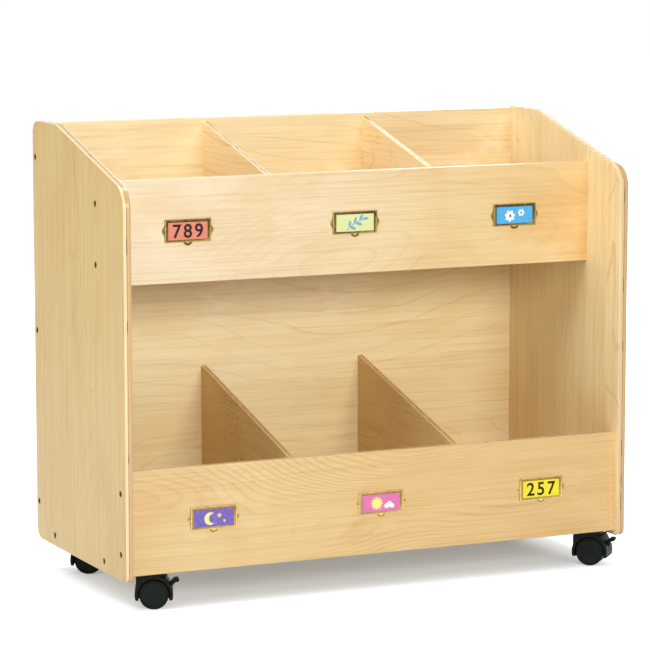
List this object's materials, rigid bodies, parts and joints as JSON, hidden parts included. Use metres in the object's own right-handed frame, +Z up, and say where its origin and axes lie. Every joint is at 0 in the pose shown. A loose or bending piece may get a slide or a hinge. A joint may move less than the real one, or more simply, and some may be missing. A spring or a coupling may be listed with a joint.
{
  "type": "picture book browser bin",
  "caption": "Mobile plywood book bin: sloped sides, an upper and a lower row of open bins with dividers, brass label holders, twin-wheel casters, brakes in front.",
  "frame": {"origin": "on the floor, in the middle of the width and of the depth", "axes": "+X along the width to the right, +Y to the rear, +Z up; the bins open towards -Y and +Z"},
  "size_m": [0.927, 0.419, 0.776],
  "materials": {
    "side_ply": "clear lacquered birch plywood, upright grain",
    "panel_ply": "clear lacquered birch plywood, level grain",
    "divider_ply": "clear lacquered birch plywood",
    "screw_zinc": "zinc plated",
    "holder_brass": "antique stamped brass",
    "caster_steel": "zinc plated",
    "wheel_nylon": "black moulded nylon",
    "hood_nylon": "black moulded nylon, slight sheen",
    "salmon_card": "printed card",
    "lime_card": "printed card",
    "sky_card": "printed card",
    "violet_card": "printed card",
    "pink_card": "printed card",
    "yellow_card": "printed card"
  },
  "bodies": {
    "carcase": {"back_panel": "panel_ply", "back_screws": "screw_zinc", "bottom_panel": "panel_ply", "caster_screws": "screw_zinc", "front_left_caster_kingpin": "caster_steel", "front_left_caster_mount_plate": "caster_steel", "front_right_caster_kingpin": "caster_steel", "front_right_caster_mount_plate": "caster_steel", "holder_pins": "holder_brass", "left_side_panel": "side_ply", "left_side_screws": "screw_zinc", "lower_divider_left": "divider_ply", "lower_divider_right": "divider_ply", "lower_front_panel": "panel_ply", "lower_left_label_holder": "holder_brass", "lower_middle_label_holder": "holder_brass", "lower_right_label_holder": "holder_brass", "rear_left_caster_kingpin": "caster_steel", "rear_left_caster_mount_plate": "caster_steel", "rear_right_caster_kingpin": "caster_steel", "rear_right_caster_mount_plate": "caster_steel", "right_side_panel": "side_ply", "right_side_screws": "screw_zinc", "upper_divider_left": "divider_ply", "upper_divider_right": "divider_ply", "upper_front_panel": "panel_ply", "upper_left_label_holder": "holder_brass", "upper_middle_label_holder": "holder_brass", "upper_right_label_holder": "holder_brass", "upper_shelf": "panel_ply"},
    "front_left_swivel": {"front_left_caster_hood": "hood_nylon", "front_left_caster_axle": "caster_steel"},
    "front_left_near_wheel": {"front_left_caster_near_wheel": "wheel_nylon"},
    "front_left_far_wheel": {"front_left_caster_far_wheel": "wheel_nylon"},
    "front_left_brake_lever": {"front_left_caster_brake_lever": "hood_nylon"},
    "front_right_swivel": {"front_right_caster_hood": "hood_nylon", "front_right_caster_axle": "caster_steel"},
    "front_right_near_wheel": {"front_right_caster_near_wheel": "wheel_nylon"},
    "front_right_far_wheel": {"front_right_caster_far_wheel": "wheel_nylon"},
    "front_right_brake_lever": {"front_right_caster_brake_lever": "hood_nylon"},
    "rear_left_swivel": {"rear_left_caster_hood": "hood_nylon", "rear_left_caster_axle": "caster_steel"},
    "rear_left_near_wheel": {"rear_left_caster_near_wheel": "wheel_nylon"},
    "rear_left_far_wheel": {"rear_left_caster_far_wheel": "wheel_nylon"},
    "rear_right_swivel": {"rear_right_caster_hood": "hood_nylon", "rear_right_caster_axle": "caster_steel"},
    "rear_right_near_wheel": {"rear_right_caster_near_wheel": "wheel_nylon"},
    "rear_right_far_wheel": {"rear_right_caster_far_wheel": "wheel_nylon"},
    "upper_left_card": {"upper_left_label_card": "salmon_card"},
    "upper_middle_card": {"upper_middle_label_card": "lime_card"},
    "upper_right_card": {"upper_right_label_card": "sky_card"},
    "lower_left_card": {"lower_left_label_card": "violet_card"},
    "lower_middle_card": {"lower_middle_label_card": "pink_card"},
    "lower_right_card": {"lower_right_label_card": "yellow_card"}
  },
  "joints": [
    {"name": "front_left_swivel", "type": "hinge", "parent": "carcase", "child": "front_left_swivel", "pos_m": [-0.4115, -0.1535, 0.0545], "axis": [0, 0, 1], "continuous": true},
    {"name": "front_left_near_wheel_spin", "type": "hinge", "parent": "front_left_swivel", "child": "front_left_near_wheel", "pos_m": [-0.39481, -0.16024, 0.024], "axis": [0.3746, 0.9272, 0], "continuous": true},
    {"name": "front_left_far_wheel_spin", "type": "hinge", "parent": "front_left_swivel", "child": "front_left_far_wheel", "pos_m": [-0.39481, -0.16024, 0.024], "axis": [0.3746, 0.9272, 0], "continuous": true},
    {"name": "front_left_brake", "type": "hinge", "parent": "front_left_swivel", "child": "front_left_brake_lever", "pos_m": [-0.37061, -0.17002, 0.0373], "axis": [0.3746, 0.9272, 0], "range_deg": [0, 20]},
    {"name": "front_right_swivel", "type": "hinge", "parent": "carcase", "child": "front_right_swivel", "pos_m": [0.4115, -0.1535, 0.0545], "axis": [0, 0, 1], "continuous": true},
    {"name": "front_right_near_wheel_spin", "type": "hinge", "parent": "front_right_swivel", "child": "front_right_near_wheel", "pos_m": [0.42445, -0.166, 0.024], "axis": [0.6947, 0.7193, 0], "continuous": true},
    {"name": "front_right_far_wheel_spin", "type": "hinge", "parent": "front_right_swivel", "child": "front_right_far_wheel", "pos_m": [0.42445, -0.166, 0.024], "axis": [0.6947, 0.7193, 0], "continuous": true},
    {"name": "front_right_brake", "type": "hinge", "parent": "front_right_swivel", "child": "front_right_brake_lever", "pos_m": [0.44322, -0.18413, 0.0373], "axis": [0.6947, 0.7193, 0], "range_deg": [0, 20]},
    {"name": "rear_left_swivel", "type": "hinge", "parent": "carcase", "child": "rear_left_swivel", "pos_m": [-0.4115, 0.1475, 0.0545], "axis": [0, 0, 1], "continuous": true},
    {"name": "rear_left_near_wheel_spin", "type": "hinge", "parent": "rear_left_swivel", "child": "rear_left_near_wheel", "pos_m": [-0.3947, 0.14105, 0.024], "axis": [0.3584, 0.9336, 0], "continuous": true},
    {"name": "rear_left_far_wheel_spin", "type": "hinge", "parent": "rear_left_swivel", "child": "rear_left_far_wheel", "pos_m": [-0.3947, 0.14105, 0.024], "axis": [0.3584, 0.9336, 0], "continuous": true},
    {"name": "rear_right_swivel", "type": "hinge", "parent": "carcase", "child": "rear_right_swivel", "pos_m": [0.4115, 0.1475, 0.0545], "axis": [0, 0, 1], "continuous": true},
    {"name": "rear_right_near_wheel_spin", "type": "hinge", "parent": "rear_right_swivel", "child": "rear_right_near_wheel", "pos_m": [0.42104, 0.13224, 0.024], "axis": [0.848, 0.5299, 0], "continuous": true},
    {"name": "rear_right_far_wheel_spin", "type": "hinge", "parent": "rear_right_swivel", "child": "rear_right_far_wheel", "pos_m": [0.42104, 0.13224, 0.024], "axis": [0.848, 0.5299, 0], "continuous": true},
    {"name": "upper_left_card_slide", "type": "slide", "parent": "carcase", "child": "upper_left_card", "axis": [0, 0, 1], "range_m": [0, 0.03]},
    {"name": "upper_middle_card_slide", "type": "slide", "parent": "carcase", "child": "upper_middle_card", "axis": [0, 0, 1], "range_m": [0, 0.03]},
    {"name": "upper_right_card_slide", "type": "slide", "parent": "carcase", "child": "upper_right_card", "axis": [0, 0, 1], "range_m": [0, 0.03]},
    {"name": "lower_left_card_slide", "type": "slide", "parent": "carcase", "child": "lower_left_card", "axis": [0, 0, 1], "range_m": [0, 0.03]},
    {"name": "lower_middle_card_slide", "type": "slide", "parent": "carcase", "child": "lower_middle_card", "axis": [0, 0, 1], "range_m": [0, 0.03]},
    {"name": "lower_right_card_slide", "type": "slide", "parent": "carcase", "child": "lower_right_card", "axis": [0, 0, 1], "range_m": [0, 0.03]}
  ]
}
